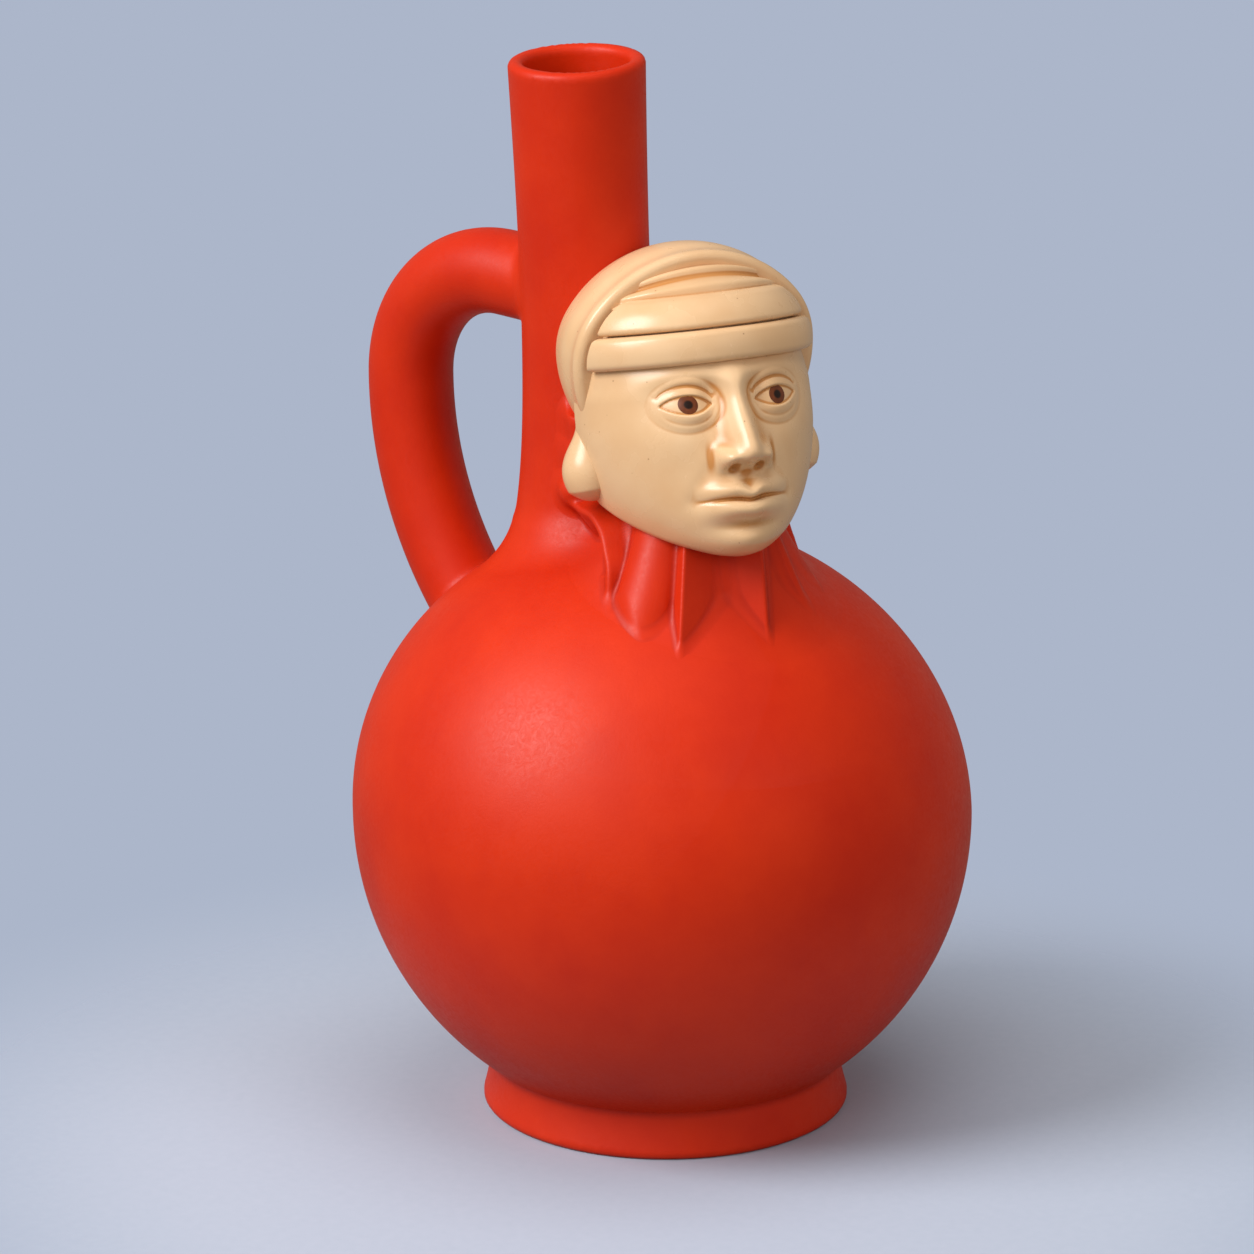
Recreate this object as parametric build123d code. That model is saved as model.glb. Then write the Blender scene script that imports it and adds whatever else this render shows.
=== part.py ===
from build123d import *
import math
import os

# Sizes are in millimetres and angles in degrees. The frame has its origin on the floor under the
# centre of the foot, Z up, the handle towards +Y and the face towards -Y.

# Globe, pressed as two halves that meet on a level rim
GLOBE_RADIUS = 82.5
SHOULDER_RISE = 77.4  # from the rim up to the crown
RIM_HEIGHT = 82.0
GLOBE_WALL = 6.0
BASE_LIFT = 7.0  # the flat base stands this far above the floor
BASE_CUT = 9.0  # depth of the full lower curve that the flat base cuts off
OVAL_STEPS = 12

# Foot ring under the bowl
FOOT_RADIUS = 49.4
FOOT_WAIST = 46.6
FOOT_WALL = 8.0
FOOT_EDGE = 2.5

# Neck, set behind the crown and leaning towards the handle
NECK_SETBACK = 23.5
NECK_LEAN = 2.8
NECK_LENGTH = 124.5
NECK_RADIUS = 16.9
LIP_RADIUS = 18.2
LIP_ROUND = 1.8
BORE_RADIUS = 14.0
NECK_FILLET = 11.0
FLANGE_RADIUS = 31.0  # outer edge of the neck's flared root on the shoulder

# Loop handle: level off the neck, one tight bend, one slack bend down to the shoulder
HANDLE_DIAMETER = 22.8
HANDLE_RISE = 61.0
HANDLE_REACH = 88.0
HANDLE_TOP_BEND = 34.0
HANDLE_SIDE_BEND = 95.0
HANDLE_SIDE_SWEEP = 60.0

# Head: a hollow ball with a flattened top, set against the front of the neck and tipped back.
# Heights in the head count from the eye line
HEAD_FORWARD = 33.5
HEAD_RISE = 52.7  # centre of the ball over the crown
HEAD_TURN = 28.0
HEAD_TILT = 15.5
SKULL_RADIUS = 29.7
SKULL_RISE = 23.6  # from the ball's centre to its flattened top
SKULL_CORNER = 17.0
SKULL_LIFT = 13.8  # centre of the ball over the eye line
SKULL_WALL = 5.0

# Head cloths, each a layer on the ball
CLOTH_THICKNESS = 2.0
PLEAT_GROOVE = 1.0
PLEAT_ANGLES = (31.0, 45.0)
BAND_FOOT = 10.2  # lower edge of the lower band
LOWER_BAND_WIDTH = 9.0
UPPER_BAND_WIDTH = 9.1
LOWER_BAND_THICKNESS = 3.9
UPPER_BAND_THICKNESS = 3.3
BAND_ROUND = 1.3
HOOD_THICKNESS = 4.4
HOOD_ROUND = 1.8
HOOD_FRONT = 7.6  # the hood's front edge lies this far before the ball's centre at the lower band
HOOD_LEAN = -9.7
HOOD_HEM = -3.0

# Face: heights of the plain oval as shares of the chin's drop below the eye line, and its half
# width and depth as shares of the ball's radius
CHIN_DROP = 42.0
FACE_OVAL = (
    (-1.00, 0.24, 0.76),
    (-0.94, 0.48, 0.98),
    (-0.81, 0.72, 1.09),
    (-0.57, 0.93, 1.11),
    (-0.24, 1.05, 1.11),
    (0.05, 1.08, 1.11),
    (0.24, 1.07, 1.12),
)
FACE_SECTIONS = 25
FACE_POINTS = 27
JAW_SLOPE = 27.0  # the jaw's flat underside rises this steeply from the chin to the ears
JAW_FRONT = 28.0
EYE_SPREAD = 12.5
IRIS_RADIUS = 2.7
IRIS_DEPTH = 2.2
NOSE_HEIGHT = 9.5
NOSE_TIP = -14.0
MOUTH_LINE = -25.4

# Ear bulbs under the hood's hem
EAR_SPREAD = 28.5
EAR_SETBACK = 3.5
EAR_RADIUS = 7.3
EAR_STEM = 3.6
EAR_DROP = 20.4

# Collar: a low mound under the jaw, with folds that run out over the shoulder
COLLAR_FORWARD = 7.4  # its axis lies this far before the ball's centre
COLLAR_TWIST = 11.0  # its front fold lies this far to one side of the face
COLLAR_RADIUS = 25.0  # at the height of the crown
COLLAR_TAPER = 0.42  # radius lost per height gained
FOLD_TOP_RADIUS = 25.5  # where each crest starts under the jaw
FOLD_TOP_RISE = 14.0
FOLD_DEPTH = 9.0
FOLD_ROUND = 1.1
FOLD_TUCK = 4.5  # the folds on the right lie closer to the axis by this much
FOLDS = (  # name, turn from the front fold, width at the crest and at the root, reach from the axis
    ("front", 0.0, 4.0, 16.0, 36.0),
    ("narrow", 38.0, 2.4, 13.0, 40.0),
    ("broad", 57.0, 9.0, 19.0, 36.5),
)
LEFT_CURL = (  # turn from the front fold, distance from the axis, height over the crown, radius
    (138.0, 34.0, 29.0, 4.0),
    (137.0, 34.6, 19.0, 4.6),
    (128.0, 32.5, 11.0, 4.6),
    (108.0, 28.6, 7.5, 5.0),
    (92.0, 28.0, 3.0, 5.0),
    (81.0, 30.0, -4.5, 4.0),
)
RIGHT_CURL = (
    (126.0, 20.0, 29.0, 5.0),
    (116.0, 22.0, 19.0, 5.6),
    (103.0, 23.0, 11.0, 5.6),
    (88.0, 24.0, 3.5, 5.4),
)
CURL_END_TURN = 75.0  # where each curl runs out on the shoulder
CURL_END_STEP = 5.0  # beyond its last station
CURL_END_RADIUS = 2.0

crown_height = RIM_HEIGHT + SHOULDER_RISE
neck_place = Location((0, NECK_SETBACK, crown_height), (-NECK_LEAN, 0, 0))
head_y = NECK_SETBACK + HEAD_RISE * math.tan(math.radians(NECK_LEAN)) - HEAD_FORWARD
head_place = (
    Location((0, head_y, crown_height + HEAD_RISE))
    * Rot(0, 0, -HEAD_TURN)
    * Rot(-HEAD_TILT, 0, 0)
    * Pos(0, 0, -SKULL_LIFT)
)
collar_place = (
    Location((0, head_y, crown_height))
    * Rot(0, 0, -HEAD_TURN)
    * Pos(0, -COLLAR_FORWARD, 0)
    * Rot(0, 0, COLLAR_TWIST)
)
bands_middle = BAND_FOOT + LOWER_BAND_WIDTH
bands_top = bands_middle + UPPER_BAND_WIDTH


def shoulder_height(distance):
    """Height of the outer shoulder at a distance from the globe's axis."""
    return RIM_HEIGHT + SHOULDER_RISE * math.sqrt(1 - (distance / GLOBE_RADIUS) ** 2)


def turned(profile):
    """Solid of revolution about Z from edges drawn as (radius, height)."""
    return revolve(Plane.XZ * make_face(profile), Axis.Z)


def oval(height, radius, rise, start, end):
    """Part of an oval about the axis, drawn as one smooth curve between two angles."""
    angles = [math.radians(start + (end - start) * i / OVAL_STEPS) for i in range(OVAL_STEPS + 1)]
    points = [(radius * math.cos(a), height + rise * math.sin(a)) for a in angles]
    ends = [(-radius * math.sin(a), rise * math.cos(a)) for a in (angles[0], angles[-1])]
    return Spline(*points, tangents=ends)


def bowl(inset):
    """Lower half of the globe as a solid, smaller than the outer surface by inset."""
    radius = GLOBE_RADIUS - inset
    base = BASE_LIFT + inset
    drop = RIM_HEIGHT - base + BASE_CUT
    angle = math.degrees(math.asin((RIM_HEIGHT - base) / drop))
    side = oval(RIM_HEIGHT, radius, drop, -angle, 0)
    return turned([side, Polyline(side @ 1, (0, RIM_HEIGHT), (0, base), side @ 0)])


def dome(inset):
    """Upper half of the globe as a solid, smaller than the outer surface by inset."""
    rise = SHOULDER_RISE - inset
    side = oval(RIM_HEIGHT, GLOBE_RADIUS - inset, rise, 0, 90)
    return turned([side, Polyline(side @ 1, (0, RIM_HEIGHT), side @ 0)])


def neck_post():
    """Neck as a solid post with its flared lip, standing through the shoulder."""
    root = -GLOBE_WALL - FLANGE_RADIUS / 2
    side = Spline(
        (NECK_RADIUS, root),
        (NECK_RADIUS, NECK_LENGTH * 0.5),
        (LIP_RADIUS, NECK_LENGTH),
        tangents=[(0, 1), (0.03, 1)],
    )
    spine = Polyline(side @ 1, (0, NECK_LENGTH), (0, root), side @ 0)
    post = turned([side, spine])
    lip = post.edges().filter_by(GeomType.CIRCLE).sort_by(Axis.Z)[-1]
    return fillet(lip, LIP_ROUND)


def neck_bore():
    """Bore from the mouth into the chamber, with the rounding inside the lip."""
    deep = -GLOBE_WALL - FLANGE_RADIUS
    bore = Pos(0, 0, deep) * Cylinder(
        BORE_RADIUS, NECK_LENGTH - deep, align=(Align.CENTER, Align.CENTER, Align.MIN)
    )
    top = NECK_LENGTH
    corner = BORE_RADIUS + LIP_ROUND
    mouth = turned(
        [
            RadiusArc((BORE_RADIUS, top - LIP_ROUND), (corner, top), LIP_ROUND),
            Polyline((corner, top), (0, top), (0, top - LIP_ROUND), (BORE_RADIUS, top - LIP_ROUND)),
        ]
    )
    return bore + mouth


def dome_and_neck():
    """Dome and neck as one solid block with the fillet at the neck's root."""
    block = dome(0) + neck_place * neck_post()
    low = crown_height - FLANGE_RADIUS
    high = crown_height + NECK_FILLET
    root = [
        edge
        for edge in block.edges()
        if edge.bounding_box().min.Z > low and edge.bounding_box().max.Z < high
    ]
    return fillet(root, NECK_FILLET)


def flange_reach():
    """Upright cylinder round the neck that parts it from the upper half of the globe."""
    low = -GLOBE_WALL - FLANGE_RADIUS / 2
    return neck_place * (
        Pos(0, 0, low)
        * Cylinder(
            FLANGE_RADIUS,
            NECK_LENGTH - low + LIP_ROUND,
            align=(Align.CENTER, Align.CENTER, Align.MIN),
        )
    )


def foot_ring():
    """Flared ring, its top edge cut to the bowl."""
    top = RIM_HEIGHT / 2
    inner = FOOT_RADIUS - FOOT_WALL
    flare = ThreePointArc(
        (FOOT_WAIST, top / 2),
        ((FOOT_WAIST * 2 + FOOT_RADIUS) / 3, top / 4),
        (FOOT_RADIUS, FOOT_EDGE),
    )
    edge = TangentArc((FOOT_RADIUS, FOOT_EDGE), (FOOT_RADIUS - FOOT_EDGE, 0), tangent=(0, -1))
    inside = Polyline(edge @ 1, (inner, 0), (inner, top / 2), flare @ 0)
    return turned([flare, edge, inside]) - bowl(0)


def handle(block):
    """Round bar swept along the loop, its ends cut to the neck and the shoulder."""
    top = crown_height + HANDLE_RISE
    start = NECK_SETBACK + HANDLE_RISE * math.tan(math.radians(NECK_LEAN))
    bend_y = HANDLE_REACH - HANDLE_TOP_BEND
    bend_z = top - HANDLE_TOP_BEND
    level = Line((start, top), (bend_y, top))
    top_bend = CenterArc((bend_y, bend_z), HANDLE_TOP_BEND, 90, -90)
    side_centre = (HANDLE_REACH - HANDLE_SIDE_BEND, bend_z)
    side_bend = CenterArc(side_centre, HANDLE_SIDE_BEND, 0, -HANDLE_SIDE_SWEEP)
    path = Plane.YZ * Wire([level, top_bend, side_bend])
    section = Plane(path @ 0, z_dir=path % 0) * Circle(HANDLE_DIAMETER / 2)
    return sweep(section, path) - block


def skull(layer):
    """Ball of the head grown by the thickness of a layer on it, in the head's own frame."""
    inset = SKULL_RADIUS - SKULL_CORNER
    top_radius = (inset**2 + SKULL_RISE**2 - SKULL_CORNER**2) / (2 * (SKULL_RISE - SKULL_CORNER))
    top_drop = top_radius - SKULL_RISE
    turn = math.degrees(math.atan2(top_drop, inset))
    below = CenterArc((0, SKULL_LIFT), SKULL_RADIUS + layer, -90, 90)
    corner = CenterArc((inset, SKULL_LIFT), SKULL_CORNER + layer, 0, turn)
    top = CenterArc((0, SKULL_LIFT - top_drop), top_radius + layer, turn, 90 - turn)
    return turned([below, corner, top, Line(top @ 1, below @ 0)])


def slab(low, high):
    """Level slab across the head between two heights."""
    side = SKULL_RADIUS * 4
    return Pos(0, 0, low) * Box(side, side, high - low, align=(Align.CENTER, Align.CENTER, Align.MIN))


def behind_hood_edge():
    """Everything behind the leaning plane of the hood's front edge."""
    side = SKULL_RADIUS * 4
    return (
        Pos(0, -HOOD_FRONT, BAND_FOOT)
        * Rot(-HOOD_LEAN, 0, 0)
        * Box(side, side, side, align=(Align.CENTER, Align.MIN, Align.CENTER))
    )


def outer_edges(piece, layer):
    """Curved edges of a head cloth that lie on its outer surface, away from the ball."""
    inner = skull(layer / 2)
    return [edge for edge in piece.edges() if not inner.is_inside(edge @ 0.5)]


def head_band(low, high, thickness):
    """Strip round the brow from one side of the hood to the other, with rounded edges."""
    strip = (skull(thickness) - skull(0)) & slab(low, high)
    strip = strip - behind_hood_edge()
    long_edges = [edge for edge in outer_edges(strip, thickness) if edge.length > SKULL_RADIUS]
    return fillet(long_edges, BAND_ROUND)


def crown_cloth():
    """Thin cloth between the upper band and the hood, with grooves that meet at the temples."""
    side = SKULL_RADIUS * 4
    cloth = (skull(CLOTH_THICKNESS) - skull(0)) & slab(bands_top, SKULL_LIFT + SKULL_RISE * 2)
    cloth = cloth - behind_hood_edge()
    floor = skull(CLOTH_THICKNESS - PLEAT_GROOVE)
    for angle in PLEAT_ANGLES:
        blade = Box(side, side, PLEAT_GROOVE, align=(Align.CENTER, Align.MAX, Align.CENTER))
        cloth -= Pos(0, 0, bands_middle) * Rot(-angle, 0, 0) * blade - floor
    return cloth


def hood():
    """Cap over the back of the ball with a rounded front edge and a level hem."""
    cap = (skull(HOOD_THICKNESS) - skull(0)) & slab(HOOD_HEM, SKULL_LIFT + SKULL_RISE * 2)
    cap = cap & behind_hood_edge()
    rim = [edge for edge in outer_edges(cap, HOOD_THICKNESS) if edge.length > SKULL_RADIUS]
    return fillet(rim, HOOD_ROUND)


def bump(distance):
    """Smooth hump, one at the centre and nothing far away."""
    return math.exp(-distance * distance)


def ramp(start, end, value):
    """Smooth step from nought at start to one at end."""
    t = min(max((value - start) / (end - start), 0), 1)
    return t * t * (3 - 2 * t)


def face_relief(x, z):
    """How far the features stand out from the plain oval of a calm, even face."""
    side = abs(x)
    eye = side - EYE_SPREAD
    brow_height = 8.0 - 0.012 * eye * eye
    relief = 1.8 * bump((z - brow_height) / 3.2) * bump(eye / 11)
    relief -= 3.0 * bump(eye / 9) * bump((z - 1.0) / 6)
    relief += 3.4 * bump(eye / 6) * bump(z / 3.4)
    along = ramp(8, NOSE_TIP + 1, z)
    below = ramp(NOSE_TIP - 4.5, NOSE_TIP, z)
    relief += NOSE_HEIGHT * along * below * bump(x / (3.6 + 1.8 * along))
    relief += 3.8 * bump((side - 5.6) / 3) * bump((z - NOSE_TIP + 0.6) / 3)
    relief += 1.4 * bump((side - 17) / 9) * bump((z + 10) / 9)
    relief += 2.6 * bump(x / 15) * bump((z - MOUTH_LINE) / 9)
    relief += 2.4 * bump(x / 9) * bump((z - MOUTH_LINE - 2.6) / 2.2)
    relief += 2.6 * bump(x / 8) * bump((z - MOUTH_LINE + 2.8) / 2.4)
    relief -= 1.6 * bump(x / 10) * bump((z - MOUTH_LINE) / 1.4)
    relief += 2.4 * bump(x / 9) * bump((z + 37) / 5)
    return relief


def oval_slope(row, column):
    """Slope of the plain oval's width or depth at one of its stations."""
    before = FACE_OVAL[max(row - 1, 0)]
    after = FACE_OVAL[min(row + 1, len(FACE_OVAL) - 1)]
    return (after[column] - before[column]) / (after[0] - before[0])


def face_oval(z):
    """Half width and depth of the plain oval at a height, smooth between its stations."""
    share = z / CHIN_DROP
    row = 0
    while row < len(FACE_OVAL) - 2 and share > FACE_OVAL[row + 1][0]:
        row += 1
    lower, upper = FACE_OVAL[row], FACE_OVAL[row + 1]
    step = upper[0] - lower[0]
    t = (share - lower[0]) / step
    sizes = []
    for column in (1, 2):
        rise = upper[column] - lower[column]
        start = oval_slope(row, column) * step
        end = oval_slope(row + 1, column) * step
        curve = t * start + t**2 * (3 * rise - 2 * start - end) + t**3 * (start + end - 2 * rise)
        sizes.append(SKULL_RADIUS * (lower[column] + curve))
    return sizes


def face_point(angle, z):
    """Point on the face, angle counted from straight ahead."""
    width, depth = face_oval(z)
    x = width * math.sin(angle)
    return (x, -depth * math.cos(angle) - face_relief(x, z) * math.cos(angle) ** 2, z)


def face_block():
    """Face as a loft through level sections, flat at the back."""
    sections = []
    for row in range(FACE_SECTIONS):
        z = -CHIN_DROP + (CHIN_DROP + BAND_FOOT) * row / (FACE_SECTIONS - 1)
        angles = [math.pi * (i / (FACE_POINTS - 1) - 0.5) for i in range(FACE_POINTS)]
        front = Spline(*[face_point(angle, z) for angle in angles])
        sections.append(make_face([front, Line(front @ 1, front @ 0)]))
    return loft(sections)


def below_jaw():
    """Everything under the plane that the jaw and the collar share."""
    side = SKULL_RADIUS * 4
    return (
        Pos(0, -JAW_FRONT, -CHIN_DROP)
        * Rot(JAW_SLOPE, 0, 0)
        * Box(side, side, side, align=(Align.CENTER, Align.CENTER, Align.MAX))
    )


def face_zone():
    """Space that the face takes up: above the jaw's plane and before the ball's centre."""
    side = SKULL_RADIUS * 4
    front = Box(side, side, side, align=(Align.CENTER, Align.MAX, Align.CENTER))
    return front - below_jaw()


def iris_plug(side):
    """Short round plug through the eye's surface."""
    x = side * EYE_SPREAD
    width, depth = face_oval(0)
    front = depth * math.sqrt(1 - (x / width) ** 2) + face_relief(x, 0)
    plug = Cylinder(IRIS_RADIUS, IRIS_DEPTH * 3, align=(Align.CENTER, Align.CENTER, Align.MIN))
    return Pos(x, -front + IRIS_DEPTH, 0) * Rot(90, 0, 0) * plug


def ear_bulb(side):
    """Drop-shaped bulb hanging from the hood's hem."""
    low = HOOD_HEM - EAR_DROP
    outline = Spline(
        (0, low),
        (EAR_RADIUS, low + EAR_RADIUS),
        (EAR_STEM, HOOD_HEM - EAR_STEM),
        (EAR_STEM, HOOD_HEM),
        tangents=[(1, 0), (0, 1)],
    )
    spine = Polyline(outline @ 1, (0, HOOD_HEM), (0, low))
    return Pos(side * EAR_SPREAD, EAR_SETBACK, 0) * turned([outline, spine])


def collar_core():
    """Low flared mound between the shoulder and the jaw."""
    drop = crown_height - shoulder_height(COLLAR_RADIUS - head_y) + GLOBE_WALL
    foot = COLLAR_RADIUS + drop * COLLAR_TAPER
    peak = COLLAR_RADIUS - HEAD_RISE * COLLAR_TAPER
    return turned(Polyline((0, -drop), (foot, -drop), (peak, HEAD_RISE), (0, HEAD_RISE), close=True))


def collar_point(turn, distance, height):
    """Point in the collar's frame at a turn from the face."""
    angle = math.radians(turn)
    return Vector(distance * math.sin(angle), -distance * math.cos(angle), height)


def fold_tip(turn, reach):
    """Point on the shoulder, in the collar's frame, where a fold runs out."""
    flat = collar_point(turn, reach, 0)
    place = (collar_place * Pos(*flat)).position
    height = shoulder_height(math.hypot(place.X, place.Y)) - crown_height
    return flat + Vector(0, 0, height)


def collar_fold(turn, crest, root, reach):
    """Straight pleat with sloping sides, from under the jaw into the shoulder."""
    tuck = FOLD_TUCK if turn > 0 else 0
    start = collar_point(turn, FOLD_TOP_RADIUS - tuck, FOLD_TOP_RISE)
    run = fold_tip(turn, reach - tuck) - start
    plane = Plane(start, x_dir=collar_point(turn + 90, 1, 0), z_dir=run)
    corners = [
        (-crest / 2, 0),
        (crest / 2, 0),
        (root / 2, -FOLD_DEPTH),
        (-root / 2, -FOLD_DEPTH),
    ]
    section = make_face(Polyline(*corners, close=True))
    section = fillet(section.vertices().sort_by(Axis.Y)[-2:], FOLD_ROUND)
    return extrude(plane * section, run.length + FOLD_DEPTH)


def collar_curl(side):
    """Fold that curls down from behind the ear."""
    stations = LEFT_CURL if side < 0 else RIGHT_CURL
    points = [collar_point(side * turn, far, up) for turn, far, up, _ in stations]
    points.append(fold_tip(side * CURL_END_TURN, stations[-1][1] + CURL_END_STEP))
    radii = [station[3] for station in stations] + [CURL_END_RADIUS]
    path = Spline(*points)
    sections = []
    for point, radius in zip(points, radii):
        share = path.param_at_point(point)
        sections.append(Plane(point, z_dir=path % share) * Circle(radius))
    return loft(sections)


def build():
    """All the pieces by name, each cut to the ones that it sits against."""
    pieces = {}
    hands = (("left", -1), ("right", 1))
    block = dome_and_neck()
    shell = block - dome(GLOBE_WALL) - neck_place * neck_bore()
    pieces["lower_globe"] = bowl(0) - bowl(GLOBE_WALL)
    pieces["upper_globe"] = shell - flange_reach()
    pieces["neck_spout"] = shell & flange_reach()
    pieces["foot_ring"] = foot_ring()
    pieces["handle"] = handle(block)

    jaw = below_jaw()
    ball = skull(0) - jaw
    cap = hood()
    face = face_block() - jaw - ball - cap
    for hand, side in hands:
        plug = iris_plug(side)
        pieces["iris_" + hand] = head_place * (face & plug)
        face = face - plug
    head = {
        "head_ball": ball,
        "face_mask": face,
        "hood": cap,
        "crown_cloth": crown_cloth(),
        "lower_headband": head_band(BAND_FOOT, bands_middle, LOWER_BAND_THICKNESS),
        "upper_headband": head_band(bands_middle, bands_top, UPPER_BAND_THICKNESS),
    }
    for hand, side in hands:
        head["ear_bulb_" + hand] = ear_bulb(side) - face - ball
    for name, piece in head.items():
        pieces[name] = head_place * piece - block
    cavity = Pos(0, 0, SKULL_LIFT) * Sphere(SKULL_RISE - SKULL_WALL)
    pieces["head_ball"] = pieces["head_ball"] - head_place * cavity

    taken = [block, head_place * ball, head_place * cap, head_place * face_zone()]
    taken += [pieces["ear_bulb_" + hand] for hand, _ in hands]
    collar = {"collar_core": collar_core()}
    for name, turn, crest, root, reach in FOLDS:
        for hand, side in hands if turn else (("middle", 0),):
            collar["fold_" + name + "_" + hand] = collar_fold(side * turn, crest, root, reach)
    for hand, side in hands:
        collar["fold_curled_" + hand] = collar_curl(side)
    for name, piece in collar.items():
        piece = collar_place * piece
        for other in taken:
            piece = piece - other
        pieces[name] = piece
        taken.append(piece)
    return pieces


os.makedirs("parts", exist_ok=True)
for name, piece in build().items():
    solids = piece.solids()
    if len(solids) != 1:
        print(name, "has", len(solids), "solids", [round(s.volume, 1) for s in solids])
    solid = max(solids, key=lambda s: s.volume)
    solid.label = name
    export_step(solid, "parts/" + name + ".step")
    print(name, round(solid.volume / 1000, 2), "cm3")
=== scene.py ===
import math
import bpy
import numpy as np
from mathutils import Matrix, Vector


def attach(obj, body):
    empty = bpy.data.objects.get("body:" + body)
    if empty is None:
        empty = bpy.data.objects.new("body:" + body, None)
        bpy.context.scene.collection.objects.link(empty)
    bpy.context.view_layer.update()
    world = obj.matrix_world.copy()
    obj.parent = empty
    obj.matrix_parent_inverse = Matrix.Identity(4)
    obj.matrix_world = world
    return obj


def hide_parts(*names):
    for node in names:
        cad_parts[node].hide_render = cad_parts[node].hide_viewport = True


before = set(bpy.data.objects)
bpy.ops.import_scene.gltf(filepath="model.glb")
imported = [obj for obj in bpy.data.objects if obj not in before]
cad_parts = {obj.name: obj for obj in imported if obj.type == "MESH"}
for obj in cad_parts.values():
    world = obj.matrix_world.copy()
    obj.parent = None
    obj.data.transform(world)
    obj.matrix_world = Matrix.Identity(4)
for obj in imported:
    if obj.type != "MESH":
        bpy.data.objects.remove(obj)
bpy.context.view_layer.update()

# Shapes are drawn in millimetres in the vessel's own frame: floor at z 0, handle towards +y, face towards -y
mm = 0.001


# Distances to a surface are negative inside; these join and cut them with a rounded seam of radius r
def roundUnion(a, b, r):
    ua, ub = np.maximum(r - a, 0), np.maximum(r - b, 0)
    return np.maximum(r, np.minimum(a, b)) - np.sqrt(ua * ua + ub * ub)


def roundBoth(a, b, r):
    return -roundUnion(-a, -b, r)


def ovalField(x, y, z, rx, rz):
    k0 = np.sqrt((x * x + y * y) / rx**2 + (z / rz) ** 2)
    k1 = np.sqrt((x * x + y * y) / rx**4 + (z / rz**2) ** 2)
    return k0 * (k0 - 1) / np.maximum(k1, 1e-6)


def hump(u):
    return np.exp(-u * u)


def ramp(a, b, v):
    t = np.clip((v - a) / (b - a), 0, 1)
    return t * t * (3 - 2 * t)


def ropeField(p, points, radii):
    best = np.full(len(p), 1e9)
    for a, b, ra, rb in zip(points[:-1], points[1:], radii[:-1], radii[1:]):
        ab = b - a
        t = np.clip((p - a) @ ab / (ab @ ab), 0, 1)
        best = np.minimum(best, np.linalg.norm(p - a - t[:, None] * ab, axis=1) - ra - t * (rb - ra))
    return best


# Wedge with its crest at height 0: left and right say how far each flank runs out for 1 mm of fall
def wedgeField(h, t, left, right, softness):
    return roundBoth((h * left - t) / math.hypot(1, left), (h * right + t) / math.hypot(1, right), softness)


# Wedge that follows a line round the z axis
def ridgeField(p, points, left, right, softness, depth):
    best = np.full(len(p), 1e9)
    for a, b in zip(points[:-1], points[1:]):
        way = (b - a) / np.linalg.norm(b - a)
        out = np.array([a[0], a[1], 0])
        out -= (out @ way) * way
        out /= np.linalg.norm(out)
        run = (p - a) @ way
        off = p - a - np.outer(np.clip(run, 0, np.linalg.norm(b - a)), way)
        past = np.abs(off @ way)
        wedge = wedgeField(off @ out, off @ np.cross(out, way), left, right, softness)
        best = np.minimum(best, np.maximum(wedge, -depth - off @ out) + 0.8 * past)
    return best


# Smooth curve through stations of x, y, z and radius, so that a fold has no corners
def smoothCurve(stations, count):
    rows = np.array(stations, float)
    rows = np.vstack([2 * rows[0] - rows[1], rows, 2 * rows[-1] - rows[-2]])
    out = []
    for i in range(1, len(rows) - 2):
        p0, p1, p2, p3 = rows[i - 1:i + 3]
        for t in np.linspace(0, 1, count, endpoint=False):
            out.append(0.5 * (2 * p1 + (p2 - p0) * t + (2 * p0 - 5 * p1 + 4 * p2 - p3) * t**2
                              + (3 * p1 - p0 - 3 * p2 + p3) * t**3))
    out = np.array(out + [rows[-2]])
    return out[:, :3], out[:, 3]


def makeMesh(name, verts, faces):
    mesh = bpy.data.meshes.new(name)
    mesh.vertices.add(len(verts))
    mesh.vertices.foreach_set("co", (verts * mm).astype(np.float32).ravel())
    mesh.loops.add(faces.size)
    mesh.loops.foreach_set("vertex_index", faces.astype(np.int32).ravel())
    mesh.polygons.add(len(faces))
    mesh.polygons.foreach_set("loop_start", np.arange(0, faces.size, faces.shape[1], dtype=np.int32))
    mesh.update(calc_edges=True)
    mesh.validate()
    mesh.shade_smooth()
    obj = bpy.data.objects.new(name, mesh)
    bpy.context.scene.collection.objects.link(obj)
    return obj


# Pulls points onto the surface along the steepest way
def settle(verts, field, most):
    h, flattest = 0.03, 0.05  # mm, the step that measures the slope, and the least slope trusted
    slope = np.stack([field(verts + h * axis) - field(verts - h * axis) for axis in np.eye(3)], 1) / (2 * h)
    steep = np.maximum((slope**2).sum(1), flattest)
    return verts - np.clip(field(verts) / steep, -most, most)[:, None] * slope


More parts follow.
